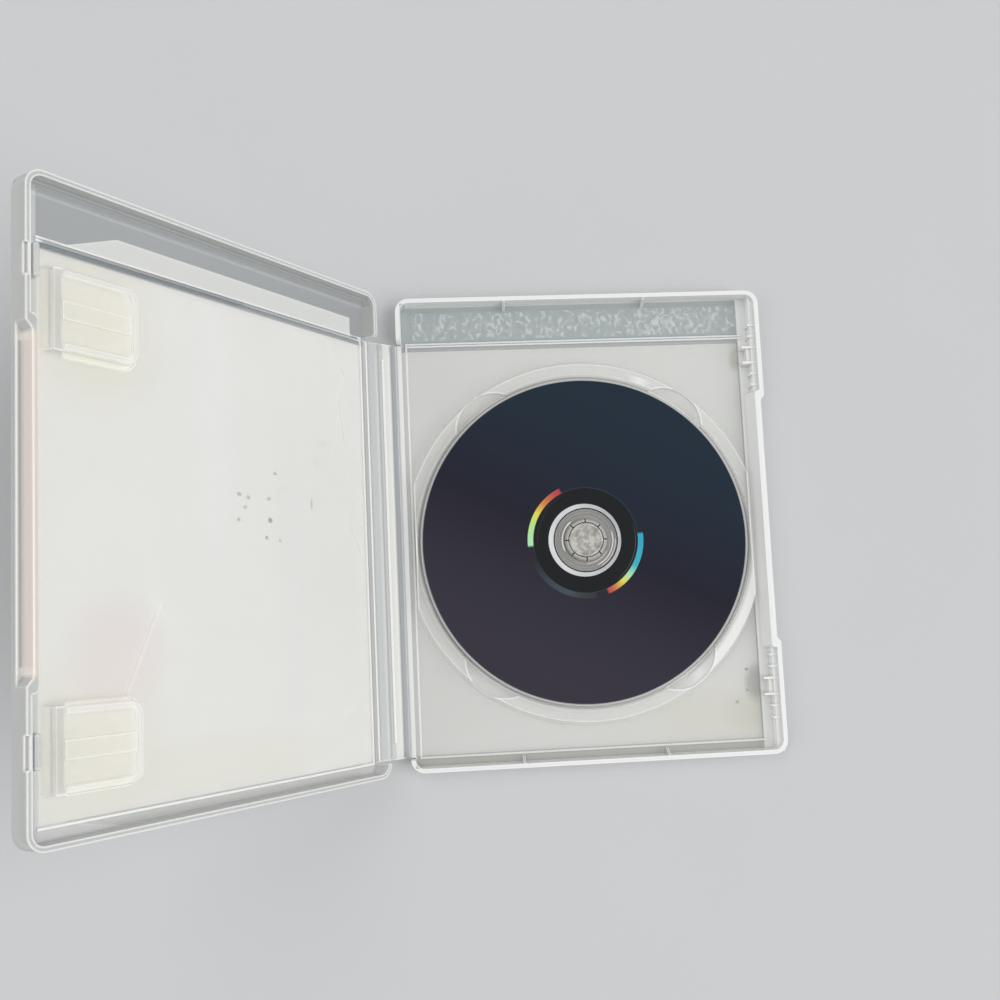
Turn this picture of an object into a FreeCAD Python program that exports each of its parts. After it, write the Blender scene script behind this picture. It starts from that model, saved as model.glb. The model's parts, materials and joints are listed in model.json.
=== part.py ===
import FreeCAD, Part
import math
import os
import re

import Sketcher

# Driving dimensions of the case, in millimetres and degrees
SIZES = {
    # Covers, which are mirror images about the hinge
    "case_height": 171.0,
    "hinge_margin": 6.0,
    "opening_margin": 9.0,
    "half_depth": 7.0,
    "rim_gap": 0.2,
    "corner_radius": 5.0,
    "edge_radius": 0.8,
    "wall": 1.5,
    "floor_thickness": 1.2,
    "header_height": 16.0,
    "footer_height": 5.0,
    "end_clearance": 0.4,
    "mouth_round": 1.6,
    # Living hinges and the spine between them
    "hinge_offset": 0.6,
    "hinge_height": 0.6,
    "hinge_bead": 0.25,
    "hinge_clearance": 0.07,
    "web_half": 0.15,
    "spine_rib_width": 0.8,
    "spine_rib_height": 0.6,
    "spine_rib_margin": 6.0,
    "spine_angle": 35.2,
    "lid_angle": 18.3,
    # Film sleeve and paper insert, in a shallow recess of the outer face
    "recess_depth": 0.32,
    "recess_border": 6.0,
    "film_thickness": 0.1,
    "insert_thickness": 0.15,
    "sheet_gap": 0.02,
    "sheet_clearance": 0.2,
    "insert_margin": 1.0,
    "insert_header": 2.0,
    "insert_foot": 0.2,
    "flap_start": 8.0,
    "flap_shoulder": 31.0,
    "flap_end": 13.0,
    "flap_top": 7.0,
    "flap_bottom": 3.8,
    # Thumb notch in the opening wall
    "notch_length": 91.0,
    "notch_depth": 1.7,
    "notch_ramp": 2.0,
    "notch_ledge": 2.6,
    "notch_wall": 1.7,
    "notch_foot": 2.3,
    "notch_round": 1.5,
    # Low ridges inside the covers
    "ridge_width": 0.6,
    "ridge_height": 0.6,
    "ridge_outset": 0.2,
    "ridge_spacing": 0.9,
    "hinge_ridge": 3.2,
    # Gussets on the back cover's end walls
    "gusset_width": 1.0,
    "gusset_depth": 2.6,
    "gusset_tip": 0.4,
    "gusset_height": 5.0,
    "gusset_spacing": 52.0,
    # Catches on the back cover and latch tabs on the front cover
    "catch_inset": 24.2,
    "catch_width": 5.0,
    "catch_reach": 3.5,
    "catch_rib": 0.8,
    "catch_block": 1.6,
    "catch_block_drop": 1.0,
    "grip_rib": 0.8,
    "grip_spacing": 4.2,
    "ledge_width": 1.8,
    "ledge_drop": 1.7,
    "latch_width": 9.0,
    "latch_thickness": 1.6,
    "latch_clearance": 0.4,
    "latch_rise": 1.0,
    "latch_window": 1.2,
    "latch_bevel": 0.5,
    # Disc, hub and well
    "disc_radius": 60.0,
    "disc_hole": 7.5,
    "disc_thickness": 1.2,
    "disc_bevel": 0.2,
    "stack_ring": 17.6,
    "stack_ring_width": 0.8,
    "stack_ring_height": 0.15,
    "disc_seat": 3.3,
    "seat_radius": 16.8,
    "seat_groove": 9.3,
    "seat_groove_width": 1.0,
    "seat_groove_depth": 0.6,
    "crown_outer": 7.2,
    "crown_inner": 6.5,
    "crown_lip": 0.5,
    "crown_height": 2.7,
    "crown_slots": 8,
    "crown_slot": 0.6,
    "button_clearance": 0.3,
    "button_stem": 2.0,
    "button_stem_drop": 1.4,
    "button_thickness": 1.8,
    "button_dish": 5.2,
    "button_dish_depth": 0.3,
    "well_clearance": 0.8,
    "well_bank": 6.2,
    "well_flat": 1.6,
    "well_height": 3.1,
    "well_slope": 1.6,
    "well_bevel": 0.7,
    "scallop_radius": 14.0,
    "scallop_inset": 8.0,
    "scallop_angle": 53.0,
    "scallop_floor": 0.6,
    # Booklet clips on the front cover
    "clip_inset": 18.5,
    "clip_width": 22.0,
    "clip_length": 27.5,
    "clip_root": 7.5,
    "clip_lean": 1.7,
    "clip_riser": 3.0,
    "clip_gap": 2.3,
    "clip_thickness": 1.1,
    "clip_corner": 4.0,
    "clip_bead": 2.4,
    "clip_bead_height": 0.7,
    "clip_bead_bevel": 0.45,
    "clip_bead_end": 0.9,
    "clip_rib_width": 5.0,
    "clip_rib_height": 0.35,
    "window_margin": 2.0,
    "window_border": 0.5,
    "window_lead": 1.5,
    "window_corner": 4.2,
}

# Places that several features share, written as formulas of the sheet's words
HUB = "(hinge_offset + hinge_margin + disc_radius)"
FREE_EDGE = "(hinge_offset + hinge_margin + 2 * disc_radius + opening_margin)"
SPINE_LENGTH = "(case_height - header_height - footer_height)"
SPINE_END = "((case_height - header_height - footer_height) / 2)"
CASE_TOP = "((case_height + header_height - footer_height) / 2)"
CASE_BOTTOM = "((header_height - footer_height - case_height) / 2)"
CASE_MIDDLE = "((header_height - footer_height) / 2)"
RIM = "(half_depth - rim_gap / 2)"
CATCH_TOP = "(half_depth - rim_gap / 2 - latch_rise - latch_clearance)"
AXIS_GAP = "(2 * half_depth - 2 * hinge_height)"
LIP = "(hinge_bead + hinge_clearance)"
BEVEL_FOOT = "(hinge_height + web_half)"
BEVEL_RUN = "(floor_thickness - hinge_height - web_half)"
CROWN_TOP = "(disc_seat + crown_height)"
WELL_INNER = "(disc_radius + well_clearance)"
WELL_OUTER = "(disc_radius + well_clearance + well_bank)"
WELL_TOP = "(floor_thickness + well_height)"
FILM_TOP = "(sheet_gap + film_thickness)"
PAPER_HEAD = f"({SPINE_END} - sheet_clearance - insert_header)"
PAPER_FOOT = f"(sheet_clearance + insert_foot - {SPINE_END})"
CATCH_LINES = (f"({CASE_BOTTOM} + catch_inset)", f"({CASE_TOP} - catch_inset)")
CLIP_UNDER = "(floor_thickness + clip_gap)"
CLIP_TOP = "(floor_thickness + clip_gap + clip_thickness)"

# Distance below which two places count as one
TOUCH = 1e-6

# Side of the hinge on which a cover lies when the case is open
BACK = 1
FRONT = -1

doc = FreeCAD.newDocument("DiscCase")
sheet = doc.addObject("Spreadsheet::Sheet", "Size")
for row, (word, value) in enumerate(SIZES.items(), 1):
    sheet.set(f"A{row}", word)
    sheet.set(f"B{row}", str(value))
    sheet.setAlias(f"B{row}", word)
doc.recompute()


def bind(formula):
    """Make a formula in the sheet's words read the sheet's cells."""
    return re.sub("[a-z_]+", lambda word: f"Size.{word[0]}" if word[0] in SIZES else word[0], formula)


def outward(side, formula):
    """Place a distance from the hinge axis on a cover's own side."""
    return f"{side} * ({formula})"


def new_body(label):
    body = doc.addObject("PartDesign::Body", label)
    body.Label = label
    return body


def new_sketch(body, name, plane="XY_Plane", level="0", across="0"):
    """Lay a sketch on an origin plane, raised by level and shifted along its own first axis."""
    sketch = body.newObject("Sketcher::SketchObject", name)
    support = next(item for item in body.Origin.OriginFeatures if item.Role == plane)
    sketch.AttachmentSupport = [(support, "")]
    sketch.MapMode = "FlatFace"
    sketch.setExpression("AttachmentOffset.Base.x", bind(across))
    sketch.setExpression("AttachmentOffset.Base.z", bind(level))
    return sketch


def pin(sketch, kind, geometry, point, start, formula):
    """Hold one coordinate of a sketch point by a formula."""
    index = sketch.addConstraint(Sketcher.Constraint(kind, -1, 1, geometry, point, start))
    sketch.setExpression(f"Constraints[{index}]", bind(formula))


def polygon(sketch, corners):
    """Draw a closed outline whose corners are pairs of formulas."""
    first = sketch.GeometryCount
    count = len(corners)
    angles = [2 * math.pi * step / count for step in range(count)]
    points = [FreeCAD.Vector(math.cos(angle), math.sin(angle), 0) for angle in angles]
    for step in range(count):
        sketch.addGeometry(Part.LineSegment(points[step], points[(step + 1) % count]), False)
    for step in range(count):
        following = first + (step + 1) % count
        sketch.addConstraint(Sketcher.Constraint("Coincident", first + step, 2, following, 1))
    for step, (along, across) in enumerate(corners):
        pin(sketch, "DistanceX", first + step, 1, points[step].x, along)
        pin(sketch, "DistanceY", first + step, 1, points[step].y, across)


def rectangle(sketch, left, right, bottom, top):
    polygon(sketch, [(left, bottom), (right, bottom), (right, top), (left, top)])


def circle(sketch, along, across, radius):
    centre = FreeCAD.Vector(1, 1, 0)
    index = sketch.addGeometry(Part.Circle(centre, FreeCAD.Vector(0, 0, 1), 1), False)
    pin(sketch, "DistanceX", index, 3, centre.x, along)
    pin(sketch, "DistanceY", index, 3, centre.y, across)
    size = sketch.addConstraint(Sketcher.Constraint("Radius", index, 1))
    sketch.setExpression(f"Constraints[{size}]", bind(radius))


def pad(body, sketch, length, symmetric=False):
    feature = body.newObject("PartDesign::Pad", sketch.Name + "Pad")
    feature.Profile = sketch
    feature.Midplane = symmetric
    feature.setExpression("Length", bind(length))
    return feature


def pocket(body, sketch, length, upward=False):
    feature = body.newObject("PartDesign::Pocket", sketch.Name + "Pocket")
    feature.Profile = sketch
    feature.Reversed = upward
    feature.setExpression("Length", bind(length))
    return feature


def revolve(body, sketch):
    feature = body.newObject("PartDesign::Revolution", sketch.Name + "Turn")
    feature.Profile = sketch
    feature.ReferenceAxis = (sketch, ["V_Axis"])
    feature.Angle = 360
    return feature


def ease_edges(body, kind, measure, name, amount, chosen):
    """Fillet or chamfer the edges of the body's last feature that a test picks out."""
    doc.recompute()
    base = body.Tip
    edges = [f"Edge{index}" for index, edge in enumerate(base.Shape.Edges, 1) if chosen(edge.BoundBox)]
    feature = body.newObject("PartDesign::" + kind, name)
    feature.Base = (base, edges)
    feature.setExpression(measure, bind(amount))
    doc.recompute()


def round_edges(body, name, radius, chosen):
    ease_edges(body, "Fillet", "Radius", name, radius, chosen)


def bevel_edges(body, name, width, chosen):
    ease_edges(body, "Chamfer", "Size", name, width, chosen)


def is_upright(box):
    return box.XLength < TOUCH and box.YLength < TOUCH


def is_post(box, height):
    return is_upright(box) and abs(box.ZLength - height) < TOUCH


def spans(outline, box):
    """Tell whether an edge lies within an outline's stretch along the case."""
    return outline.YMin < box.YMin + TOUCH and box.YMax < outline.YMax + TOUCH


def size(word):
    return float(sheet.get(word))


def rest(body, swing, axis_x, axis_z):
    """Turn a piece about its hinge axis, which lies hinge_height above the piece's own origin."""
    body.Placement = FreeCAD.Placement(FreeCAD.Vector(), FreeCAD.Rotation(FreeCAD.Vector(0, 1, 0), 1))
    body.setExpression("Placement.Rotation.Angle", bind(swing))
    body.setExpression("Placement.Base.x", bind(f"{axis_x} - hinge_height * sin({swing})"))
    body.setExpression("Placement.Base.z", bind(f"{axis_z} - hinge_height * cos({swing})"))


def rest_on_back(body):
    body.setExpression("Placement.Base.x", bind(f"-{HUB}"))


def rest_on_spine(body):
    rest(body, "spine_angle", f"-{HUB}", "hinge_height")


def rest_on_front(body):
    axis_x = f"-{HUB} - {AXIS_GAP} * cos(spine_angle)"
    axis_z = f"hinge_height + {AXIS_GAP} * sin(spine_angle)"
    rest(body, "(spine_angle + lid_angle)", axis_x, axis_z)


# Moulded covers


def cover_shell(body, side, prefix):
    """Make a cover's floor, its walls, the opening for the spine and the hinge lip."""
    block = new_sketch(body, prefix + "Block")
    near = outward(side, "hinge_offset")
    far = outward(side, FREE_EDGE)
    rectangle(block, near, far, CASE_BOTTOM, CASE_TOP)
    pad(body, block, RIM)
    round_edges(body, prefix + "Corners", "corner_radius", is_upright)
    round_edges(body, prefix + "Edges", "edge_radius", lambda box: box.ZMax < TOUCH)

    cavity = new_sketch(body, prefix + "Cavity", level=RIM)
    inner_near = outward(side, "hinge_offset + wall")
    inner_far = outward(side, f"{FREE_EDGE} - wall")
    rectangle(cavity, inner_near, inner_far, f"{CASE_BOTTOM} + wall", f"{CASE_TOP} - wall")
    pocket(body, cavity, f"{RIM} - floor_thickness")
    inner_depth = size("half_depth") - size("rim_gap") / 2 - size("floor_thickness")
    round_edges(
        body,
        prefix + "InnerCorners",
        "corner_radius - wall",
        lambda box: is_upright(box) and abs(box.ZLength - inner_depth) < TOUCH,
    )

    mouth = new_sketch(body, prefix + "Mouth", level=RIM)
    reach = f"{SPINE_END} + end_clearance"
    mouth_far = outward(side, "hinge_offset + wall + corner_radius")
    rectangle(mouth, outward(side, "-hinge_offset"), mouth_far, f"-({reach})", reach)
    pocket(body, mouth, f"{RIM} - floor_thickness")
    rim = size("half_depth") - size("rim_gap") / 2

    def is_mouth_end(box):
        across_wall = box.YLength < TOUCH and box.XLength < 2 * size("wall")
        return across_wall and abs(box.ZMin - rim) < TOUCH and box.YMin > 0

    round_edges(body, prefix + "MouthEnds", "mouth_round", is_mouth_end)

    trim = new_sketch(body, prefix + "Trim", level="floor_thickness")
    rectangle(trim, outward(side, "0"), outward(side, "hinge_offset + wall"), f"-({reach})", reach)
    pocket(body, trim, "floor_thickness")
    lip = new_sketch(body, prefix + "Lip", plane="XZ_Plane")
    polygon(
        lip,
        [
            (outward(side, LIP), "0"),
            (outward(side, "hinge_offset + 2 * wall"), "0"),
            (outward(side, "hinge_offset + 2 * wall"), "floor_thickness"),
            (outward(side, f"{LIP} + {BEVEL_RUN}"), "floor_thickness"),
            (outward(side, LIP), BEVEL_FOOT),
        ],
    )
    pad(body, lip, SPINE_LENGTH, symmetric=True)


def thumb_notch(body, side, prefix):
    """Set the middle of the opening wall back, so that a thumb can part the covers."""
    wall_run = new_sketch(body, prefix + "NotchWall", plane="XZ_Plane", level=f"-{CASE_MIDDLE}")
    outer = f"{FREE_EDGE} - wall / 2"
    inner_rim = f"{FREE_EDGE} - notch_depth - notch_wall"
    polygon(
        wall_run,
        [
            (outward(side, outer), "floor_thickness / 2"),
            (outward(side, f"{inner_rim} - notch_foot"), "floor_thickness / 2"),
            (outward(side, f"{inner_rim} - notch_foot"), "floor_thickness"),
            (outward(side, inner_rim), RIM),
            (outward(side, outer), RIM),
        ],
    )
    pad(body, wall_run, "notch_length + 2 * notch_ramp", symmetric=True)
    reach = size("notch_length") / 2 + size("notch_ramp")
    middle = (size("header_height") - size("footer_height")) / 2

    def is_notch_end(box):
        slanted = box.YLength < TOUCH and min(box.XLength, box.ZLength) > TOUCH
        return slanted and abs(abs(box.YMin - middle) - reach) < TOUCH

    round_edges(body, prefix + "NotchEnds", "notch_round", is_notch_end)

    notch = new_sketch(body, prefix + "Notch", level=f"{RIM} + wall")
    half = "notch_length / 2"
    face = outward(side, FREE_EDGE)
    beyond = outward(side, f"{FREE_EDGE} + wall")
    deep = outward(side, f"{FREE_EDGE} - notch_depth")
    polygon(
        notch,
        [
            (beyond, f"{CASE_MIDDLE} - {half}"),
            (face, f"{CASE_MIDDLE} - {half}"),
            (deep, f"{CASE_MIDDLE} - {half} + notch_ramp"),
            (deep, f"{CASE_MIDDLE} + {half} - notch_ramp"),
            (face, f"{CASE_MIDDLE} + {half}"),
            (beyond, f"{CASE_MIDDLE} + {half}"),
        ],
    )
    pocket(body, notch, f"{RIM} + wall - notch_ledge")


def cover_ridges(body, side, prefix):
    """Raise the low ridges that frame the paper under the floor."""
    ridges = new_sketch(body, prefix + "Ridges", level="floor_thickness / 2")
    near = outward(side, "hinge_offset + hinge_ridge")
    far = outward(side, f"{FREE_EDGE} - recess_border")
    first = f"{SPINE_END} + ridge_outset"
    second = f"{first} - ridge_spacing"
    foot = f"-{SPINE_END} - ridge_outset"
    for line in (first, second, foot):
        rectangle(ridges, near, far, f"{line} - ridge_width / 2", f"{line} + ridge_width / 2")
    pad(body, ridges, "floor_thickness / 2 + ridge_height")

    hinge = new_sketch(body, prefix + "HingeRidge", level="floor_thickness / 2")
    hinge_far = outward(side, "hinge_offset + hinge_ridge + ridge_width")
    rectangle(hinge, near, hinge_far, foot, first)
    pad(body, hinge, "floor_thickness / 2 + ridge_height")


def sheet_recess(body, side, prefix, corners):
    """Sink the shallow bed of the film and the paper into the outer face."""
    bed = new_sketch(body, prefix + "Bed")
    polygon(bed, [(outward(side, along), across) for along, across in corners])
    pocket(body, bed, "recess_depth", upward=True)


def plain_sheet(clearance):
    """Outline of a sheet with square corners, from the hinge axis outward."""
    far = f"{FREE_EDGE} - recess_border - {clearance}"
    end = f"({SPINE_END} - {clearance})"
    return [(clearance, f"-{end}"), (far, f"-{end}"), (far, end), (clearance, end)]


def paper_sheet(margin):
    """Outline of the paper, which stops short of the film and leaves a bare strip below the header."""
    far = f"{FREE_EDGE} - recess_border - {margin}"
    return [(margin, PAPER_FOOT), (far, PAPER_FOOT), (far, PAPER_HEAD), (margin, PAPER_HEAD)]


def flapped_sheet(clearance):
    """Outline of the front sheet, whose two long ends carry flaps with slanted corners."""
    far = f"{FREE_EDGE} - recess_border - {clearance}"
    end = f"({SPINE_END} - {clearance})"
    start = f"hinge_offset + flap_start + {clearance}"
    shoulder = f"{FREE_EDGE} - flap_shoulder"
    tip = f"{FREE_EDGE} - flap_end - {clearance}"
    top = f"({end} + flap_top)"
    bottom = f"(-{end} - flap_bottom)"
    foot = f"-{end}"
    lower = [(clearance, foot), (start, foot), (start, bottom), (shoulder, bottom), (tip, foot), (far, foot)]
    upper = [(far, end), (tip, end), (shoulder, top), (start, top), (start, end), (clearance, end)]
    return lower + upper


def make_back_cover():
    body = new_body("back_cover")
    cover_shell(body, BACK, "Back")
    disc_well(body)
    thumb_notch(body, BACK, "Back")
    cover_ridges(body, BACK, "Back")
    end_gussets(body)
    catches(body)
    sheet_recess(body, BACK, "Back", plain_sheet("0"))
    disc_hub(body)
    rest_on_back(body)
    return body


def disc_well(body):
    """Ring the disc with a low bank, cut by flats at the sides and by four finger scallops."""
    bank = new_sketch(body, "WellBank", plane="XZ_Plane", across=HUB)
    polygon(
        bank,
        [
            (WELL_INNER, "floor_thickness"),
            (WELL_OUTER, "floor_thickness"),
            (f"{WELL_OUTER} - well_slope", WELL_TOP),
            (f"{WELL_INNER} + well_bevel", WELL_TOP),
            (WELL_INNER, f"{WELL_TOP} - well_bevel"),
        ],
    )
    revolve(body, bank)

    flats = new_sketch(body, "WellFlats", level=WELL_TOP, across=HUB)
    end = f"{WELL_OUTER} / 2"
    flat = "(disc_radius + well_flat)"
    rectangle(flats, f"-{WELL_OUTER} - wall", f"-{flat}", f"-{end}", end)
    rectangle(flats, flat, f"{FREE_EDGE} - wall - {HUB}", f"-{end}", end)
    pocket(body, flats, "well_height")

    scallops = new_sketch(body, "WellScallops", level=WELL_TOP, across=HUB)
    for across in (-1, 1):
        for along in (-1, 1):
            circle(
                scallops,
                f"{along} * (disc_radius - scallop_inset) * cos(scallop_angle)",
                f"{across} * (disc_radius - scallop_inset) * sin(scallop_angle)",
                "scallop_radius",
            )
    pocket(body, scallops, "well_height - scallop_floor")


def disc_hub(body):
    """Turn the disc's seat with its crown, then slit the crown into springy fingers."""
    crown = new_sketch(body, "HubCrown", plane="XZ_Plane", across=HUB)
    lip_radius = "crown_outer + crown_lip"
    lip_foot = "disc_seat + disc_thickness + crown_lip / 2"
    polygon(
        crown,
        [
            ("crown_inner", "floor_thickness / 2"),
            ("seat_radius", "floor_thickness / 2"),
            ("seat_radius", "disc_seat"),
            ("seat_groove + seat_groove_width", "disc_seat"),
            ("seat_groove + seat_groove_width", "disc_seat - seat_groove_depth"),
            ("seat_groove", "disc_seat - seat_groove_depth"),
            ("seat_groove", "disc_seat"),
            ("crown_outer", "disc_seat"),
            ("crown_outer", lip_foot),
            (lip_radius, f"{lip_foot} + crown_lip"),
            ("crown_outer", CROWN_TOP),
            ("crown_inner", CROWN_TOP),
        ],
    )
    revolve(body, crown)

    slot = new_sketch(body, "HubSlot", level=CROWN_TOP, across=HUB)
    rectangle(slot, "crown_inner / 2", lip_radius + " + crown_lip", "-crown_slot / 2", "crown_slot / 2")
    first_slot = pocket(body, slot, "crown_height")
    slots = body.newObject("PartDesign::PolarPattern", "HubSlots")
    slots.Originals = [first_slot]
    slots.Axis = (slot, ["N_Axis"])
    slots.Angle = 360
    slots.setExpression("Occurrences", bind("crown_slots"))
    body.Tip = slots


def end_gussets(body):
    """Stiffen the end walls with pairs of sloped ribs."""
    under = "floor_thickness / 2"
    top = "floor_thickness + gusset_height"
    for name, half in (("Near", "-gusset_spacing / 2"), ("Far", "gusset_spacing / 2")):
        ribs = new_sketch(body, "Gussets" + name, plane="YZ_Plane", level=f"{HUB} + {half}")
        for end, inward in ((CASE_TOP, -1), (CASE_BOTTOM, 1)):
            root = f"{end} + {inward} * wall / 2"
            tip = f"{end} + {inward} * (wall + gusset_tip)"
            foot = f"{end} + {inward} * (wall + gusset_depth)"
            polygon(ribs, [(root, under), (foot, under), (foot, "floor_thickness"), (tip, top), (root, top)])
        pad(body, ribs, "gusset_width", symmetric=True)


def catches(body):
    """Step the opening wall's inside, and raise two catches on the step with grip ribs beside them."""
    ledge_face = f"{FREE_EDGE} - wall - ledge_width"
    near = outward(BACK, f"{ledge_face} - catch_reach")
    block_near = outward(BACK, f"{ledge_face} - catch_block")
    grip_near = outward(BACK, f"{ledge_face} - grip_rib")
    far = outward(BACK, f"{FREE_EDGE} - wall / 2")
    ledge = new_sketch(body, "WallLedge", level="floor_thickness / 2")
    rectangle(ledge, outward(BACK, ledge_face), far, f"{CASE_BOTTOM} + wall / 2", f"{CASE_TOP} - wall / 2")
    pad(body, ledge, f"{RIM} - ledge_drop - floor_thickness / 2")

    ribs = new_sketch(body, "CatchRibs", level="floor_thickness / 2")
    blocks = new_sketch(body, "CatchBlocks", level="floor_thickness / 2")
    for centre in CATCH_LINES:
        for end in (-1, 1):
            line = f"{centre} + {end} * (catch_width + catch_rib) / 2"
            rectangle(ribs, near, far, f"{line} - catch_rib / 2", f"{line} + catch_rib / 2")
            for step in (1, 2):
                grip = f"{line} + {end} * {step} * grip_spacing"
                rectangle(ribs, grip_near, far, f"{grip} - grip_rib / 2", f"{grip} + grip_rib / 2")
        rectangle(blocks, block_near, far, f"{centre} - catch_width / 2", f"{centre} + catch_width / 2")
    pad(body, ribs, f"{CATCH_TOP} - floor_thickness / 2")
    pad(body, blocks, f"{CATCH_TOP} - catch_block_drop - floor_thickness / 2")


def make_front_cover():
    body = new_body("front_cover")
    cover_shell(body, FRONT, "Front")
    thumb_notch(body, FRONT, "Front")
    cover_ridges(body, FRONT, "Front")
    latches(body)
    sheet_recess(body, FRONT, "Front", flapped_sheet("0"))
    clip_line = f"({SPINE_END} - clip_inset)"
    booklet_clip(body, clip_line, "Upper")
    booklet_clip(body, f"-{clip_line}", "Lower")
    rest_on_front(body)
    return body


def latches(body):
    """Stand two latch tabs inside the opening wall, each behind a slot in the wall."""
    tabs = new_sketch(body, "LatchTabs", level="floor_thickness / 2")
    windows = new_sketch(body, "LatchWindows", level=f"{RIM} + wall")
    tab_far = f"{FREE_EDGE} - wall - latch_clearance"
    for centre in CATCH_LINES:
        bottom = f"{centre} - latch_width / 2"
        top = f"{centre} + latch_width / 2"
        rectangle(
            tabs,
            outward(FRONT, f"{tab_far} - latch_thickness"),
            outward(FRONT, tab_far),
            bottom,
            top,
        )
        rectangle(
            windows,
            outward(FRONT, f"{FREE_EDGE} - wall / 2"),
            outward(FRONT, f"{FREE_EDGE} + wall"),
            f"{bottom} + latch_clearance",
            f"{top} - latch_clearance",
        )
    pad(body, tabs, f"{RIM} + latch_rise - floor_thickness / 2")
    tab_top = size("half_depth") - size("rim_gap") / 2 + size("latch_rise")
    bevel_edges(body, "LatchEdges", "latch_bevel", lambda box: box.ZMax > tab_top - TOUCH)
    pocket(body, windows, "wall + latch_window")


def booklet_clip(body, half, name):
    """Make a tongue that stands on its root, with a U-shaped bead, a middle rib and a window below."""
    profile = new_sketch(body, f"Clip{name}", plane="XZ_Plane", level=f"-({half})")
    root = f"{FREE_EDGE} - clip_root"
    tip = f"{root} - clip_length"
    polygon(
        profile,
        [
            (outward(FRONT, root), "floor_thickness / 2"),
            (outward(FRONT, root), "floor_thickness"),
            (outward(FRONT, f"{root} - clip_lean"), CLIP_TOP),
            (outward(FRONT, tip), CLIP_TOP),
            (outward(FRONT, tip), CLIP_UNDER),
            (outward(FRONT, f"{root} - clip_lean - clip_riser"), CLIP_UNDER),
            (outward(FRONT, f"{root} - clip_riser"), "floor_thickness"),
            (outward(FRONT, f"{root} - clip_riser"), "floor_thickness / 2"),
        ],
    )
    pad(body, profile, "clip_width", symmetric=True)

    bead = new_sketch(body, f"Clip{name}Bead", level=CLIP_UNDER)
    end = outward(FRONT, f"{root} - clip_lean - clip_bead")
    inner = outward(FRONT, f"{tip} + clip_bead")
    edge = "clip_width / 2"
    rail = "(clip_width / 2 - clip_bead)"
    polygon(
        bead,
        [
            (end, f"{half} - {edge}"),
            (outward(FRONT, tip), f"{half} - {edge}"),
            (outward(FRONT, tip), f"{half} + {edge}"),
            (end, f"{half} + {edge}"),
            (end, f"{half} + {rail}"),
            (inner, f"{half} + {rail}"),
            (inner, f"{half} - {rail}"),
            (end, f"{half} - {rail}"),
        ],
    )
    pad(body, bead, "clip_thickness + clip_bead_height")
    round_bead(body, name, bead)

    rib = new_sketch(body, f"Clip{name}Rib", level=f"{CLIP_TOP} - clip_thickness / 2")
    rib_near = outward(FRONT, f"{tip} + clip_bead / 2")
    rectangle(rib, rib_near, end, f"{half} - clip_rib_width / 2", f"{half} + clip_rib_width / 2")
    pad(body, rib, "clip_thickness / 2 + clip_rib_height")

    window = new_sketch(body, f"Clip{name}Window")
    window_far = outward(FRONT, f"{root} - clip_lean - clip_riser - window_margin")
    window_near = outward(FRONT, f"{tip} - window_lead")
    window_half = "(clip_width / 2 + window_border)"
    rectangle(window, window_near, window_far, f"{half} - {window_half}", f"{half} + {window_half}")
    pocket(body, window, "floor_thickness + clip_gap / 2", upward=True)
    doc.recompute()
    outline = window.Shape.BoundBox
    floor = size("floor_thickness") - size("recess_depth")
    round_edges(
        body,
        f"Clip{name}WindowCorners",
        "window_corner",
        lambda box: is_post(box, floor) and spans(outline, box) and box.XMin > outline.Center.x,
    )


def round_bead(body, name, bead):
    """Round the tongue's corners and the bends and ends of its bead, then bevel the bead's crest."""
    doc.recompute()
    outline = bead.Shape.BoundBox
    rise = size("clip_bead_height")
    full = size("clip_thickness") + rise
    crest = size("floor_thickness") + size("clip_gap") + full
    steps = (
        ("Corners", "clip_corner", lambda box: is_post(box, full)),
        ("Bends", "clip_corner - clip_bead", lambda box: is_post(box, rise) and box.XMin > outline.Center.x),
        ("Ends", "clip_bead_end", lambda box: is_post(box, rise) and box.XMin < outline.Center.x),
    )
    for step, radius, chosen in steps:
        round_edges(body, f"Clip{name}{step}", radius, lambda box: spans(outline, box) and chosen(box))

    def is_crest(box):
        return spans(outline, box) and max(crest - box.ZMin, box.ZMax - crest) < TOUCH

    bevel_edges(body, f"Clip{name}Crest", "clip_bead_bevel", is_crest)


# Spine


def make_spine():
    body = new_body("spine")
    section = new_sketch(body, "SpineSection", plane="XZ_Plane")
    web_foot = "hinge_height - web_half"
    polygon(
        section,
        [
            ("0", web_foot),
            (f"-{LIP}", "recess_depth"),
            (f"{LIP} - {AXIS_GAP}", "recess_depth"),
            (f"-{AXIS_GAP}", web_foot),
            (f"-{AXIS_GAP}", BEVEL_FOOT),
            (f"{LIP} - {AXIS_GAP}", BEVEL_FOOT),
            (f"{LIP} + {BEVEL_RUN} - {AXIS_GAP}", "floor_thickness"),
            (f"-{LIP} - {BEVEL_RUN}", "floor_thickness"),
            (f"-{LIP}", BEVEL_FOOT),
            ("0", BEVEL_FOOT),
        ],
    )
    pad(body, section, SPINE_LENGTH, symmetric=True)

    beads = new_sketch(body, "SpineBeads", plane="XZ_Plane")
    circle(beads, "0", "hinge_height", "hinge_bead")
    circle(beads, f"-{AXIS_GAP}", "hinge_height", "hinge_bead")
    pad(body, beads, SPINE_LENGTH, symmetric=True)

    rib = new_sketch(body, "SpineRib", level="hinge_height")
    middle = f"-{AXIS_GAP} / 2"
    end = f"({SPINE_END} - spine_rib_margin)"
    rectangle(rib, f"{middle} - spine_rib_width / 2", f"{middle} + spine_rib_width / 2", f"-{end}", end)
    pad(body, rib, "floor_thickness - hinge_height + spine_rib_height")
    rest_on_spine(body)
    return body


# Film sleeve and paper insert


def make_sheet(label, corners, level, thickness, seat):
    body = new_body(label)
    outline = new_sketch(body, label.title().replace("_", ""), level=level)
    polygon(outline, corners)
    pad(body, outline, thickness)
    seat(body)
    return body


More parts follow.
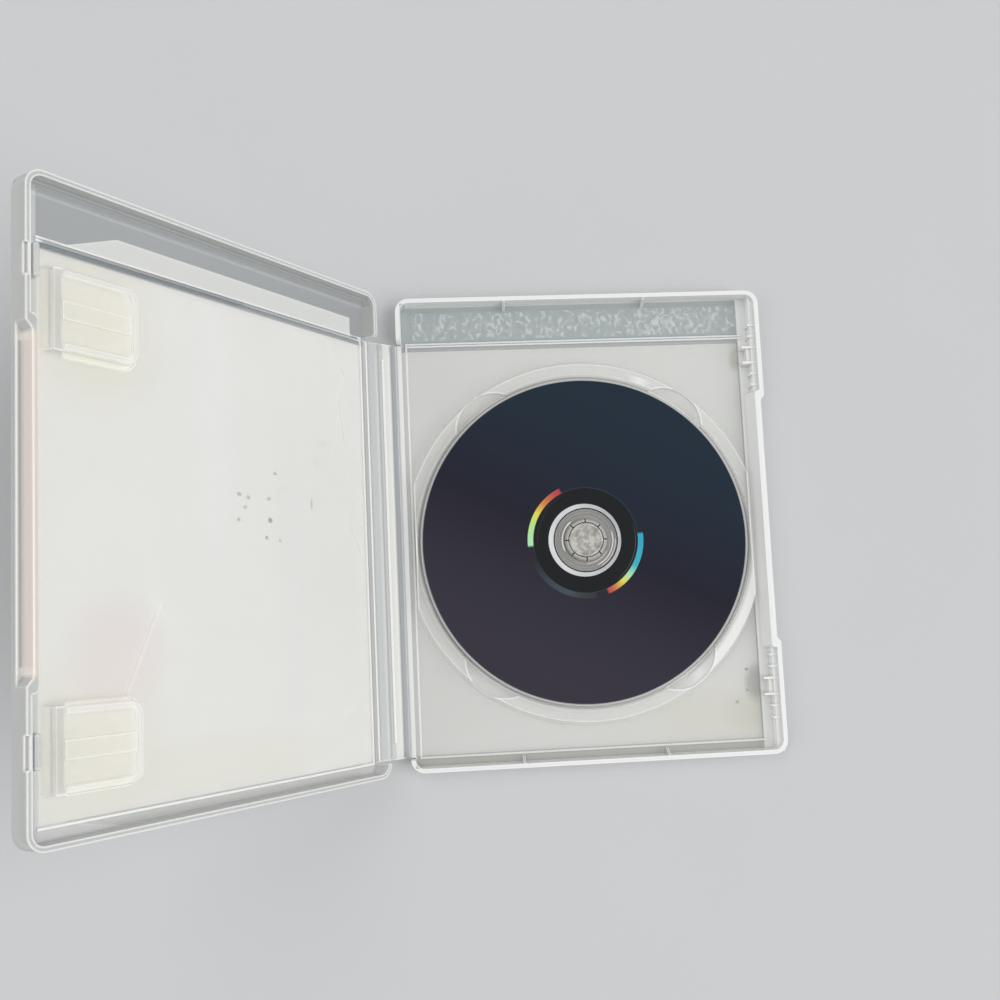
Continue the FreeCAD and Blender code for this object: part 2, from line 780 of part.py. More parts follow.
def make_sheets():
    """Lay the film on the outside and the paper between it and the moulding, on all three panels."""
    margin = "(sheet_clearance + insert_margin)"
    film_front = [(outward(FRONT, x), y) for x, y in flapped_sheet("sheet_clearance")]
    insert_front = [(outward(FRONT, x), y) for x, y in paper_sheet(margin)]
    film_back = [(outward(BACK, x), y) for x, y in plain_sheet("sheet_clearance")]
    insert_back = [(outward(BACK, x), y) for x, y in paper_sheet(margin)]
    paper_level = f"{FILM_TOP} + sheet_gap"
    made = [
        make_sheet("film_front", film_front, "sheet_gap", "film_thickness", rest_on_front),
        make_sheet("insert_front", insert_front, paper_level, "insert_thickness", rest_on_front),
        make_sheet("film_back", film_back, "sheet_gap", "film_thickness", rest_on_back),
        make_sheet("insert_back", insert_back, paper_level, "insert_thickness", rest_on_back),
    ]
    film_end = f"({SPINE_END} - sheet_clearance)"
    layers = (
        ("film_spine", "sheet_clearance", f"-{film_end}", film_end, "sheet_gap", "film_thickness"),
        ("insert_spine", margin, PAPER_FOOT, PAPER_HEAD, paper_level, "insert_thickness"),
    )
    for label, clearance, foot, head, level, thickness in layers:
        near = f"-{clearance}"
        far = f"{clearance} - {AXIS_GAP}"
        corners = [(near, foot), (far, foot), (far, head), (near, head)]
        made.append(make_sheet(label, corners, level, thickness, rest_on_spine))
    return made


# Disc and hub button, turned about the disc's axis


def make_disc():
    body = new_body("disc")
    profile = new_sketch(body, "DiscProfile", plane="XZ_Plane")
    top = "(disc_seat + disc_thickness)"
    polygon(
        profile,
        [
            ("disc_hole", "disc_seat"),
            ("disc_radius - disc_bevel", "disc_seat"),
            ("disc_radius", "disc_seat + disc_bevel"),
            ("disc_radius", f"{top} - disc_bevel"),
            ("disc_radius - disc_bevel", top),
            ("stack_ring + stack_ring_width", top),
            ("stack_ring + stack_ring_width / 2", f"{top} + stack_ring_height"),
            ("stack_ring", top),
            ("disc_hole", top),
        ],
    )
    revolve(body, profile)
    return body


def make_hub_button():
    body = new_body("hub_button")
    profile = new_sketch(body, "ButtonProfile", plane="XZ_Plane")
    edge = "(crown_inner - button_clearance)"
    under = f"({CROWN_TOP} - button_thickness)"
    dish = f"({CROWN_TOP} - button_dish_depth)"
    polygon(
        profile,
        [
            ("0", f"{under} - button_stem_drop"),
            ("button_stem", f"{under} - button_stem_drop"),
            ("button_stem", under),
            (edge, under),
            (edge, dish),
            (f"{edge} - button_dish_depth", CROWN_TOP),
            ("button_dish + button_dish_depth", CROWN_TOP),
            ("button_dish", dish),
            ("0", dish),
        ],
    )
    revolve(body, profile)
    return body


def check_and_write(bodies):
    """Refuse a failed feature or a broken solid, then write each piece to its own file."""
    doc.recompute()
    for item in doc.Objects:
        if "Invalid" in item.State or "Error" in item.State:
            raise RuntimeError(f"{item.Name} failed: {item.State}")
    for body in bodies:
        shape = body.Shape
        if shape.isNull() or not shape.isValid() or len(shape.Solids) != 1:
            raise RuntimeError(f"{body.Label} is not one sound solid")
    os.makedirs("parts", exist_ok=True)
    for body in bodies:
        body.Shape.exportStep(f"parts/{body.Label}.step")
        box = body.Shape.BoundBox
        print(f"{body.Label}: {body.Shape.Volume:.0f} mm3, z {box.ZMin:.2f} to {box.ZMax:.2f}")


pieces = [make_back_cover(), make_spine(), make_front_cover(), make_disc(), make_hub_button()]
check_and_write(pieces + make_sheets())
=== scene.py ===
import json
import math

import bmesh
import bpy
from mathutils import Euler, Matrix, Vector, noise


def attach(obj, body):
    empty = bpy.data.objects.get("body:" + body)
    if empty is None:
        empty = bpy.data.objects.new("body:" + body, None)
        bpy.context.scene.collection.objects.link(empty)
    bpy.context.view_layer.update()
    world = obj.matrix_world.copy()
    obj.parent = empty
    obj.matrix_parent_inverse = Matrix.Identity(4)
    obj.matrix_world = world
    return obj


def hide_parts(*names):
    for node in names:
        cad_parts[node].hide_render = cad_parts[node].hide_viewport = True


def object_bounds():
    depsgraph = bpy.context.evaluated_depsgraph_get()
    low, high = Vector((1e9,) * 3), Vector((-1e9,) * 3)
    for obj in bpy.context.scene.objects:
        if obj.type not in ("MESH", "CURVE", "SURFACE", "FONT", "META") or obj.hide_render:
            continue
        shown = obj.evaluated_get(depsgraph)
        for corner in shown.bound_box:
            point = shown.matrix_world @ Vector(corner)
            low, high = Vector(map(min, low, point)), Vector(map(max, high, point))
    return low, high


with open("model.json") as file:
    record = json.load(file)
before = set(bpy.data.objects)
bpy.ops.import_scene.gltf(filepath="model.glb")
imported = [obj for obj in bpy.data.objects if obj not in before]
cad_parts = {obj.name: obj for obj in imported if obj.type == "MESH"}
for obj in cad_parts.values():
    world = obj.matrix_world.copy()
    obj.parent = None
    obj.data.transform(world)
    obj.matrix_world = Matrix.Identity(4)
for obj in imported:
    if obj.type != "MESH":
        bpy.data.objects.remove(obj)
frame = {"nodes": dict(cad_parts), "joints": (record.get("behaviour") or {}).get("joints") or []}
cad_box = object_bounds()

# Lengths below are in millimetres and angles in degrees
MM = 0.001

# Camera, where the photograph was taken from
CAMERA_PLACE = (-50.37, -32.86, 383.08)
CAMERA_TURN = (5.566, -3.692, -2.681)
CAMERA_LENS = 37.824
CAMERA_SENSOR = 36.0
CAMERA_SHIFT = (-0.0190, 0.0347)
CAMERA_NEAR = 10.0

# Light that gives plain daylight on a level surface: an even world, and broad lamps
# as source, strength and spread
WORLD_COLOUR = (1.0, 1.0, 1.0, 1)
WORLD_STRENGTH = 0.38
LAMPS = {
    "key": ((740.0, -140.0, 640.0), 1.95, 56.0),
    "fill": ((-300.0, 620.0, 900.0), 0.40, 35.0),
    "side": ((-640.0, -60.0, 560.0), 0.85, 50.0),
}

# Ground that the case lies on
GROUND_COLOUR = (0.56, 0.57, 0.58)
GROUND_SHADE = 0.98
GROUND_REACH = 12000.0
GROUND_DROP = 0.2

# Levels and ends of the case that the looks need
TRAY_FLOOR = 1.2
SEAT_LEVEL = 3.3
SHEET_END = 75.0
PAPER_HEAD = 72.8
PAPER_FOOT = -74.6

# Crinkled field in the tray's header, as left, right, low and high, with the step and height of its mesh,
# the steps in which it rises from its border, and its underside and border above the tray's floor
HEADER_FIELD = (-61.0, 62.0, 75.8, 87.6)
CRINKLE_STEP = 0.32
CRINKLE_HEIGHT = 0.45
CRINKLE_RISE = 3
CRINKLE_UNDER = 0.01
CRINKLE_BORDER = 0.03
# Height over the floor from which the crests are painted paler, as a painted highlight
CRINKLE_PALE_FROM = 0.05

# Layers of noise in the crinkles, as scale across, scale along and seed
BEND_NOISE = (0.25, 0.30, 8.1)
FOLD_NOISE = (0.36, 0.50, 3.7)
GATHER_NOISE = (0.05, 0.10, 1.9)
FLECK_NOISE = (0.80, 0.66, 5.3)

# How far the folds bend and how narrow their crests are, and the middle and swing of the flecks
# and of the gathering that fades the folds, with its limits
FOLD_BEND = 1.2
FOLD_NARROWNESS = 5.0
GATHER_MIDDLE, GATHER_SWING = 0.35, 0.9
GATHER_LEAST, GATHER_MOST = 0.1, 0.95
FLECK_MIDDLE, FLECK_SWING = 0.40, 0.55

# Ranges for spread: all of a mask, a falling mask, and the values that most of a cloud has
UNIT = (0.0, 1.0)
FALL = (1.0, 0.0)
CLOUD_RANGE = (0.3, 0.7)

# What the milky plastic has in common: blur between its zones, darkest share of its milk, height in which
# its fittings turn white and how white, reach and look of the painted highlights on its convex edges and
# of the painted shade in its inner corners
PLASTIC_IOR = 1.49
ZONE_BLUR = 0.2
MILK_SHADE = 0.95
CREST_RISE = 0.6
CREST_WHITE = 0.45
EDGE_REACH = 0.7
EDGE_FADE = (0.55, 0.95)
EDGE_HIGHLIGHT_COLOUR = (0.96, 0.965, 0.955, 1)
HOLLOW_REACH = 1.1
HOLLOW_FADE = (0.45, 0.9)
CORNER_SHADE_COLOUR = (0.30, 0.32, 0.325, 1)
WALL_CORNER_SHADE = 0.5

# Its density seen straight on and at a slant, and the least on full marks and on edges
FACING_BLEND = 0.35
PLASTIC_BODY = (0.24, 0.45)
MARK_BODY = 0.8
EDGE_BODY = 0.85

# Its fine grain, drawn out along the case
GRAIN_STRETCH = (1.0, 0.3, 1.0)
GRAIN_RANGE = (0.2, 0.8)
GRAIN_ROUGHNESS = (0.32, 0.38)

# Each moulding's plastic, in its own frame: the ground inside the walls as left, right, low and high,
# the shades over the paper, in the bare header, in the bare foot and in the walls, how much denser
# the bare strips and the walls are, and the height above which the front cover's fittings turn white;
# the spine has no walls, so its ground reaches past it. The one plastic's shades differ from moulding
# to moulding partly as painted light: over the paper the front cover's is lighter than the tray's,
# and in its bare header and walls darker
TRAY_PLASTIC = {
    "inside": (-64.3, 62.0, -78.3, 89.2),
    "shades": ((0.73, 0.74, 0.72), (0.60, 0.655, 0.655), (0.72, 0.72, 0.665), (0.95, 0.96, 0.95)),
    "bare_body": 0.16,
    "wall_body": 0.5,
}
LID_PLASTIC = {
    "inside": (-129.2, -2.3, -78.3, 89.2),
    "shades": ((0.90, 0.90, 0.88), (0.24, 0.265, 0.27), (0.72, 0.72, 0.69), (0.60, 0.61, 0.595)),
    "bare_body": 0.05,
    "wall_body": 0.35,
    "crest_level": 4.15,
}
SPINE_PLASTIC = {
    "inside": (-300.0, 300.0, -300.0, 300.0),
    "shades": ((0.72, 0.735, 0.725), (0.72, 0.735, 0.725), (0.72, 0.735, 0.725), (0.9, 0.9, 0.9)),
    "bare_body": 0.0,
    "wall_body": 0.35,
}

# Flap of the film behind the front cover's header, as tip, shoulder, near end, foot and top
# in the cover's frame, with the blur of its sides and of its slanted end
FLAP = (-122.4, -104.6, -8.8, 74.9, 81.8)
FLAP_BLUR = 0.15
FLAP_SLANT_BLUR = 0.3
FLAP_COLOUR = (0.90, 0.905, 0.885, 1)
FLAP_STRENGTH = 0.85

# Paper on the two covers, the front cover's a touch lighter as painted light, and the darkest share of its
# mottling
TRAY_PAPER = (0.91, 0.91, 0.885)
LID_PAPER = (0.93, 0.925, 0.90)
PAPER_SHADE = 0.965

# Density of the film where it lies single and where it is folded over, and the blur between
FILM_BODY = (0.3, 1.0)
FILM_BLUR = 0.4

# Zones of the disc, by radius
DISC_HOLE = 7.5
DISC_RADIUS = 60.0
DISC_THICKNESS = 1.2
CLEAR_ZONE = 11.4
BLACK_LINE = 11.8
SILVER_ZONE = 13.3
SILVER_SHIFT = -0.3
CHARCOAL_ZONE = 19.2
BAND_ZONE = 21.2
DATA_ZONE = 59.1
STACK_RING = (17.6, 18.0, 18.4)
STACK_RING_HEIGHT = 0.15
HUB_GROOVES = ((8.9, 0.0), (9.25, 0.16), (9.6, 0.0), (10.3, 0.0), (10.6, 0.14), (10.9, 0.0))
RIM_BEVEL = 0.2
DISC_SEGMENTS = 240
LEVEL_TOLERANCE = 1e-9

# Print on the data side: blur of its borders, seam round the hub print as inner and outer step from it,
# and lean of the painted reflection that runs from the lower left to the upper right
PRINT_BLUR = 0.1
BAND_BLUR = 0.12
SEAM = (-0.1, 0.2)
SEAM_STRENGTH = 0.6
DISC_REFLECTION_LEAN = 0.5
DISC_REFLECTION = (
    (0.0, (0.030, 0.026, 0.040, 1)),
    (0.5, (0.008, 0.008, 0.020, 1)),
    (1.0, (0.006, 0.018, 0.034, 1)),
)

# Painted spectral arcs of light split by the disc's band, as side, first and last angle and the colours
# between them
RAINBOW_BLUR = 1.5
RAINBOWS = (
    (
        -1,
        -65.0,
        4.0,
        (
            (0.0, (0.45, 0.05, 0.07, 1)),
            (0.25, (0.62, 0.25, 0.05, 1)),
            (0.5, (0.72, 0.66, 0.09, 1)),
            (0.75, (0.45, 0.75, 0.22, 1)),
            (1.0, (0.42, 0.76, 0.45, 1)),
        ),
    ),
    (
        1,
        5.0,
        -69.0,
        (
            (0.0, (0.03, 0.36, 0.54, 1)),
            (0.45, (0.05, 0.42, 0.50, 1)),
            (0.66, (0.35, 0.72, 0.45, 1)),
            (0.84, (0.72, 0.66, 0.09, 1)),
            (1.0, (0.50, 0.07, 0.06, 1)),
        ),
    ),
    (
        -1,
        10.0,
        98.0,
        (
            (0.0, (0.012, 0.016, 0.022, 1)),
            (0.4, (0.040, 0.055, 0.075, 1)),
            (0.75, (0.055, 0.070, 0.085, 1)),
            (1.0, (0.030, 0.035, 0.040, 1)),
        ),
    ),
)

# Blots on the plastic, as centre, radii, colour and strength in the moulding's own frame:
# rubbing round the hub, yellowing at catches and clips, lines along walls, painted shade along the foot
# of the front cover's top wall, and bands along the spine with painted shade in its groove and along its rib
BLOT_CORE = 0.4
TRAY_BLOTS = (
    ((0.0, 0.0, 3.5), (20.0, 20.0, 9.0), (0.47, 0.46, 0.43), 0.8),
    ((63.0, -55.3, 3.5), (2.6, 3.5, 2.4), (0.84, 0.79, 0.62), 0.7),
    ((63.0, 66.8, 3.5), (2.6, 3.5, 2.4), (0.84, 0.79, 0.62), 0.5),
)
LID_BLOTS = (
    ((-66.0, 90.2, 3.1), (900.0, 2.5, 0.7), (0.33, 0.36, 0.375), 0.55),
    ((-66.0, 90.2, 1.9), (900.0, 2.5, 0.35), (0.86, 0.88, 0.88), 0.6),
    # Painted shade on the header floor along the foot of the top wall, then a pale line
    ((-66.0, 88.6, 0.6), (900.0, 1.5, 0.7), (0.27, 0.30, 0.315), 0.6),
    ((-66.0, 86.9, 0.6), (900.0, 0.5, 0.7), (0.80, 0.82, 0.82), 0.45),
    ((-114.0, 56.5, 3.5), (19.0, 15.0, 9.0), (0.80, 0.78, 0.68), 0.35),
    ((-114.0, -56.5, 3.5), (19.0, 15.0, 9.0), (0.80, 0.78, 0.68), 0.35),
)
SPINE_BLOTS = (
    # Bands along the spine: painted shade in its groove and along its rib, paler between
    ((-1.2, 0.0, 0.6), (1.5, 900.0, 9.0), (0.33, 0.36, 0.39), 0.8),
    ((-4.6, 0.0, 0.6), (2.4, 900.0, 9.0), (0.93, 0.93, 0.89), 0.7),
    ((-7.4, 0.0, 0.6), (0.7, 900.0, 9.0), (0.36, 0.38, 0.40), 0.6),
    ((-10.2, 0.0, 0.6), (2.6, 900.0, 9.0), (0.60, 0.63, 0.635), 0.7),
)

# Streaks on the front cover, as start, end, width, colour and strength: painted shade in the strip under the
# header, the tan lines of the thumb notch and a painted shadow line at its step, and two pale streaks of
# painted reflection
LID_STREAKS = (
    ((-127.0, 73.8, 0.0), (-60.0, 74.4, 0.0), 1.9, (0.27, 0.30, 0.315), 0.9),
    ((-60.0, 74.4, 0.0), (-6.0, 74.8, 0.0), 1.3, (0.30, 0.33, 0.345), 0.8),
    ((-130.4, 48.0, 0.0), (-130.4, -37.0, 0.0), 3.2, (0.95, 0.80, 0.68), 0.95),
    ((-133.7, 48.0, 0.0), (-133.7, -37.0, 0.0), 1.3, (1.0, 0.915, 0.84), 0.95),
    ((-134.5, 46.0, 0.0), (-134.5, -35.0, 0.0), 0.8, (0.22, 0.26, 0.29), 0.8),
    ((-102.8, -44.0, 0.0), (-91.6, -20.1, 0.0), 1.7, (1.0, 1.0, 0.99), 0.38),
    ((-94.3, -18.7, 0.0), (-86.9, -25.5, 0.0), 1.1, (1.0, 1.0, 0.99), 0.3),
)

# Blots on the paper, in the frame of its cover: specks first, then broad tints, on the front cover,
# and tints first, then specks, on the tray
LID_PAPER_BLOTS = (
    ((-48.4, 6.7, 0.0), (1.3, 1.1, 99.0), (0.038, 0.038, 0.038), 0.9),
    ((-50.1, 1.1, 0.0), (1.0, 0.9, 99.0), (0.115, 0.115, 0.11), 0.7),
    ((-44.3, 0.4, 0.0), (1.0, 0.8, 99.0), (0.093, 0.093, 0.088), 0.7),
    ((-61.1, 14.1, 0.0), (1.3, 0.9, 99.0), (0.115, 0.115, 0.11), 0.6),
    ((-57.4, 13.3, 0.0), (1.1, 0.9, 99.0), (0.17, 0.17, 0.159), 0.6),
    ((-58.8, 10.2, 0.0), (1.1, 0.9, 99.0), (0.17, 0.17, 0.159), 0.5),
    ((-61.5, 6.2, 0.0), (1.0, 0.8, 99.0), (0.148, 0.148, 0.143), 0.6),
    ((-45.8, 22.0, 0.0), (1.3, 0.8, 99.0), (0.148, 0.148, 0.143), 0.6),
    ((-48.8, 13.6, 0.0), (1.3, 0.9, 99.0), (0.181, 0.181, 0.17), 0.5),
    ((-42.6, 16.8, 0.0), (3.0, 2.0, 99.0), (0.225, 0.225, 0.214), 0.12),
    ((-29.6, 13.3, 0.0), (0.8, 2.6, 99.0), (0.181, 0.181, 0.17), 0.5),
    ((-26.3, 27.2, 0.0), (2.6, 1.4, 99.0), (0.225, 0.225, 0.214), 0.12),
    ((-23.5, 34.5, 0.0), (3.2, 1.8, 99.0), (0.247, 0.247, 0.236), 0.12),
    ((-13.3, -55.3, 0.0), (1.6, 2.4, 99.0), (0.99, 0.99, 0.97), 0.9),
    ((-16.9, -56.6, 0.0), (1.3, 1.6, 99.0), (0.99, 0.99, 0.97), 0.9),
    ((-70.0, 40.0, 0.0), (9.0, 70.0, 99.0), (0.95, 0.955, 0.94), 0.6),
    ((-40.0, -20.0, 0.0), (8.0, 90.0, 99.0), (0.88, 0.88, 0.865), 0.5),
    ((-112.0, 57.0, 0.0), (28.0, 32.0, 99.0), (0.90, 0.87, 0.74), 0.8),
    ((-112.0, -57.0, 0.0), (28.0, 32.0, 99.0), (0.90, 0.87, 0.74), 0.7),
    # Painted shade: a darker pinkish patch beside the painted reflection on the cover
    ((-105.0, -33.0, 0.0), (20.0, 22.0, 99.0), (0.90, 0.78, 0.76), 0.6),
    ((-70.0, -66.0, 0.0), (60.0, 11.0, 99.0), (0.88, 0.85, 0.72), 0.5),
)
TRAY_PAPER_BLOTS = (
    ((45.0, -66.0, 0.0), (30.0, 14.0, 99.0), (0.86, 0.83, 0.70), 0.55),
    ((61.0, -54.5, 0.0), (6.0, 9.0, 99.0), (0.16, 0.15, 0.13), 0.5),
    ((55.5, -65.0, 0.0), (11.0, 8.0, 99.0), (0.66, 0.62, 0.46), 0.22),
    ((61.0, 66.5, 0.0), (3.5, 6.0, 99.0), (0.50, 0.45, 0.30), 0.5),
    ((57.4, -49.6, 0.0), (0.9, 0.7, 99.0), (0.05, 0.05, 0.05), 0.7),
    ((57.2, -57.2, 0.0), (0.7, 0.6, 99.0), (0.05, 0.05, 0.05), 0.6),
    ((53.2, -61.3, 0.0), (1.0, 0.7, 99.0), (0.08, 0.08, 0.07), 0.6),
)

# Arcs round the disc axis, as inner radius, outer radius and blur, then middle angle, half of the stretch,
# colour and strength: painted highlights on a stretch of the well's bank and at a scallop, dark moulded rings
# on the disc's clear hub, and painted glints on the hub and a painted bright line round the rim
ARC_BLUR = 5.0
WHOLE_RING = 180.0
BANK_HIGHLIGHTS = (
    ((61.8, 66.0, 1.2), -26.0, 30.0, (0.97, 0.975, 0.965), 0.8),
    ((61.4, 64.2, 0.4), 68.5, 3.5, (0.98, 0.985, 0.975), 0.8),
)
HUB_RINGS_AND_GLINTS = (
    ((7.3, 7.9, 0.1), 0.0, WHOLE_RING, (0.17, 0.165, 0.155), 0.75),
    ((9.3, 9.6, 0.1), 0.0, WHOLE_RING, (0.17, 0.165, 0.155), 0.75),
    ((10.4, 10.6, 0.1), 0.0, WHOLE_RING, (0.22, 0.215, 0.20), 0.7),
    ((8.3, 8.8, 0.15), 166.0, 40.0, (0.93, 0.92, 0.88), 0.95),
    ((8.4, 8.7, 0.12), -60.0, 30.0, (0.85, 0.84, 0.80), 0.8),
    ((9.8, 10.15, 0.12), -25.0, 42.0, (0.90, 0.89, 0.86), 0.9),
    ((10.75, 11.05, 0.1), -30.0, 32.0, (0.86, 0.85, 0.82), 0.85),
    ((59.4, 59.9, 0.1), 0.0, WHOLE_RING, (0.76, 0.79, 0.81), 0.6),
)


# Shader building blocks


def opaque(shade, share=1.0):
    """A full colour from red, green and blue, darkened to a share of itself."""
    return tuple(part * share for part in shade) + (1,)


def new_material(name, constants):
    """A material whose Principled shader has these sockets set all over."""
    material = bpy.data.materials.new(name)
    material.use_nodes = True
    shader = material.node_tree.nodes["Principled BSDF"]
    for socket, value in constants.items():
        shader.inputs[socket].default_value = value
    return material, material.node_tree, shader


def node(tree, kind, inputs, **settings):
    """Add a node, set its options and feed its sockets with numbers or other nodes' outputs."""
    made = tree.nodes.new("ShaderNode" + kind)
    for name, value in settings.items():
        setattr(made, name, value)
    for socket, value in inputs.items():
        if isinstance(value, bpy.types.NodeSocket):
            tree.links.new(value, made.inputs[socket])
        else:
            made.inputs[socket].default_value = value
    return made


def feed(tree, shader, socket, value):
    tree.links.new(value, shader.inputs[socket])


def place(tree):
    """Position on the object at rest, in metres."""
    return node(tree, "TexCoord", {}).outputs["Object"]


def axis_parts(tree, vector):
    return tuple(node(tree, "SeparateXYZ", {0: vector}).outputs)


def cloud(tree, vector, size, detail=2.0, rough=0.5):
    """Soft noise from 0 to 1 whose lumps are about size millimetres across."""
    scale = 1 / (size * MM)
    inputs = {"Vector": vector, "Scale": scale, "Detail": detail, "Roughness": rough}
    return node(tree, "TexNoise", inputs).outputs["Fac"]


def stretch(tree, vector, factors):
    return node(tree, "Mapping", {"Vector": vector, "Scale": factors}).outputs[0]


def calc(tree, operation, first, second=0.0):
    return node(tree, "Math", {0: first, 1: second}, operation=operation).outputs[0]


def vector_calc(tree, operation, *inputs):
    """Vector arithmetic whose result is a vector."""
    return node(tree, "VectorMath", dict(enumerate(inputs)), operation=operation).outputs[0]


def vector_measure(tree, operation, *inputs):
    """Vector arithmetic whose result is a number."""
    return node(tree, "VectorMath", dict(enumerate(inputs)), operation=operation).outputs[1]


def axis_distance(tree, where):
    """Distance from the disc axis, in metres."""
    return vector_measure(tree, "LENGTH", stretch(tree, where, (1, 1, 0)))


def spread(tree, value, source, target=UNIT):
    """Turn the source range into the target range, with soft ends."""
    inputs = {
        "Value": value,
        "From Min": source[0],
        "From Max": source[1],
        "To Min": target[0],
        "To Max": target[1],
    }
    return node(tree, "MapRange", inputs, interpolation_type="SMOOTHSTEP").outputs[0]


def step(tree, value, level, blur, target=UNIT):
    """A soft step at a level, from the first value of the target range to its last."""
    return spread(tree, value, (level - blur, level + blur), target)


def band(tree, value, low, high, blur, peak=1.0):
    """The peak value between low and high, with soft ends."""
    return calc(tree, "MULTIPLY", step(tree, value, low, blur), step(tree, value, high, blur, (peak, 0.0)))


def tint(tree, amount, first, second):
    """Blend two colours."""
    return node(tree, "Mix", {0: amount, 6: first, 7: second}, data_type="RGBA").outputs[2]


def ramp(tree, value, stops):
    made = node(tree, "ValToRGB", {0: value})
    elements = made.color_ramp.elements
    while len(elements) < len(stops):
        elements.new(0.5)
    for element, (position, colour) in zip(elements, stops):
        element.position = position
        element.color = colour
    return made.outputs[0]


def roughen(tree, shader, pattern, roughness, source=CLOUD_RANGE):
    """Let a pattern vary the roughness within a range."""
    feed(tree, shader, "Roughness", spread(tree, pattern, source, roughness))


def relief(tree, shader, height, depth, strength, rounding=0.0):
    """Bump of depth millimetres, on edges that look rounded off by a radius in millimetres."""
    inputs = {"Height": height, "Distance": depth * MM, "Strength": strength}
    if rounding:
        inputs["Normal"] = node(tree, "Bevel", {"Radius": rounding * MM}, samples=1).outputs[0]
    feed(tree, shader, "Normal", node(tree, "Bump", inputs).outputs[0])


def open_share(tree, reach, samples, inside):
    """How far the space within reach millimetres is open, outside the solid or inside it."""
    settings = {"samples": samples, "inside": inside, "only_local": True}
    return node(tree, "AmbientOcclusion", {"Distance": reach * MM}, **settings).outputs["AO"]


def convex_edges(tree):
    """1 on the solid's convex edges, fading out."""
    return spread(tree, open_share(tree, EDGE_REACH, samples=2, inside=True), EDGE_FADE, FALL)


def hollows(tree):
    """1 in the solid's inner corners, fading out."""
    return spread(tree, open_share(tree, HOLLOW_REACH, samples=1, inside=False), HOLLOW_FADE, FALL)


# Frames of the pieces, as functions that turn a place on the object at rest into a place in the frame


def row_frame(_tree, where):
    """The row's own frame, which the tray lies in."""
    return where


def hinge_frame(hinge, turn):
    """The frame of a piece on a hinge: the hinge is at 0 and the piece reaches along minus X."""

    def local(tree, where):
        inputs = {"Vector": where, "Location": hinge, "Rotation": (0, turn, 0)}
        return node(tree, "Mapping", inputs, vector_type="TEXTURE").outputs[0]

    return local


def joint(name):
    """Place of a joint in metres, and the turn in radians by which it stands from its lower limit at rest."""
    found = next(item for item in frame["joints"] if item["name"] == name)
    return Vector(found["pos_m"]), -math.radians(found["range_deg"][0])


spine_hinge, spine_turn = joint("spine_hinge")
lid_hinge, lid_turn = joint("lid_hinge")
spine_frame = hinge_frame(spine_hinge, spine_turn)
lid_frame = hinge_frame(lid_hinge, spine_turn + lid_turn)


# Marks, as masks that reach their strength where they are full


def blot(tree, where, centre, radii, strength):
    """Full in the core of an ellipse given in millimetres, fading out towards its rim."""
    factors = [1 / (radius * MM) for radius in radii]
    start = [-part / radius for part, radius in zip(centre, radii)]
    far = vector_measure(tree, "LENGTH", vector_calc(tree, "MULTIPLY_ADD", where, factors, start))
    return spread(tree, far, (BLOT_CORE, 1.0), (strength, 0.0))


def streak(tree, flat, start, end, width, strength):
    """Full along a stretch between two points in millimetres of a plane, fading out over its width."""
    first = Vector(start) * MM
    run = Vector(end) * MM - first
    offset = vector_calc(tree, "SUBTRACT", flat, first)
    share = vector_measure(tree, "DOT_PRODUCT", offset, run / run.length_squared)
    held = node(tree, "Clamp", {"Value": share, "Min": 0.0, "Max": 1.0}).outputs[0]
    nearest = node(tree, "VectorMath", {0: run, "Scale": held}, operation="SCALE").outputs[0]
    gap = vector_measure(tree, "DISTANCE", offset, nearest)
    return spread(tree, gap, (0.0, width * MM), (strength, 0.0))


def arc(tree, where, ring, middle, half, strength):
    """Full on a stretch of a ring round the disc axis, with soft ends, or on the whole ring."""
    inner, outer, blur = (part * MM for part in ring)
    on_ring = band(tree, axis_distance(tree, where), inner, outer, blur, strength)
    if half == WHOLE_RING:
        return on_ring
    turned = node(tree, "Mapping", {"Vector": where, "Rotation": (0, 0, -math.radians(middle))}).outputs[0]
    across, up, _ = axis_parts(tree, turned)
    angle = calc(tree, "ARCTAN2", up, across)
    reach = math.radians(half)
    return calc(tree, "MULTIPLY", on_ring, band(tree, angle, -reach, reach, math.radians(ARC_BLUR)))


def flap_mask(tree, across, along):
    """1 where the film's flap backs the front cover's header, a strip with one slanted end."""
    tip, shoulder, near, low, high = (part * MM for part in FLAP)
    slant = (shoulder - tip) / (high - low)
    lean = calc(tree, "SUBTRACT", across, calc(tree, "MULTIPLY", along, slant))
    strip = calc(
        tree,
        "MULTIPLY",
        band(tree, along, low, high, FLAP_BLUR * MM),
        band(tree, across, tip, near, FLAP_BLUR * MM),
    )
    return calc(tree, "MULTIPLY", strip, step(tree, lean, tip - slant * low, FLAP_SLANT_BLUR * MM))


def stain_and_paint_light(tree, colour, where, blots=(), streaks=(), arcs=()):
    """Lay soft marks over a colour, real ones and painted light alike, and tell how far they cover it."""
    cover = 0.0
    flat = vector_calc(tree, "MULTIPLY", where, (1, 1, 0))
    for shape, marks, spot in ((blot, blots, where), (streak, streaks, flat), (arc, arcs, where)):
        for *form, shade, strength in marks:
            amount = shape(tree, spot, *form, strength)
            colour = tint(tree, amount, colour, opaque(shade))
            cover = calc(tree, "MAXIMUM", amount, cover)
    return colour, cover


# Materials


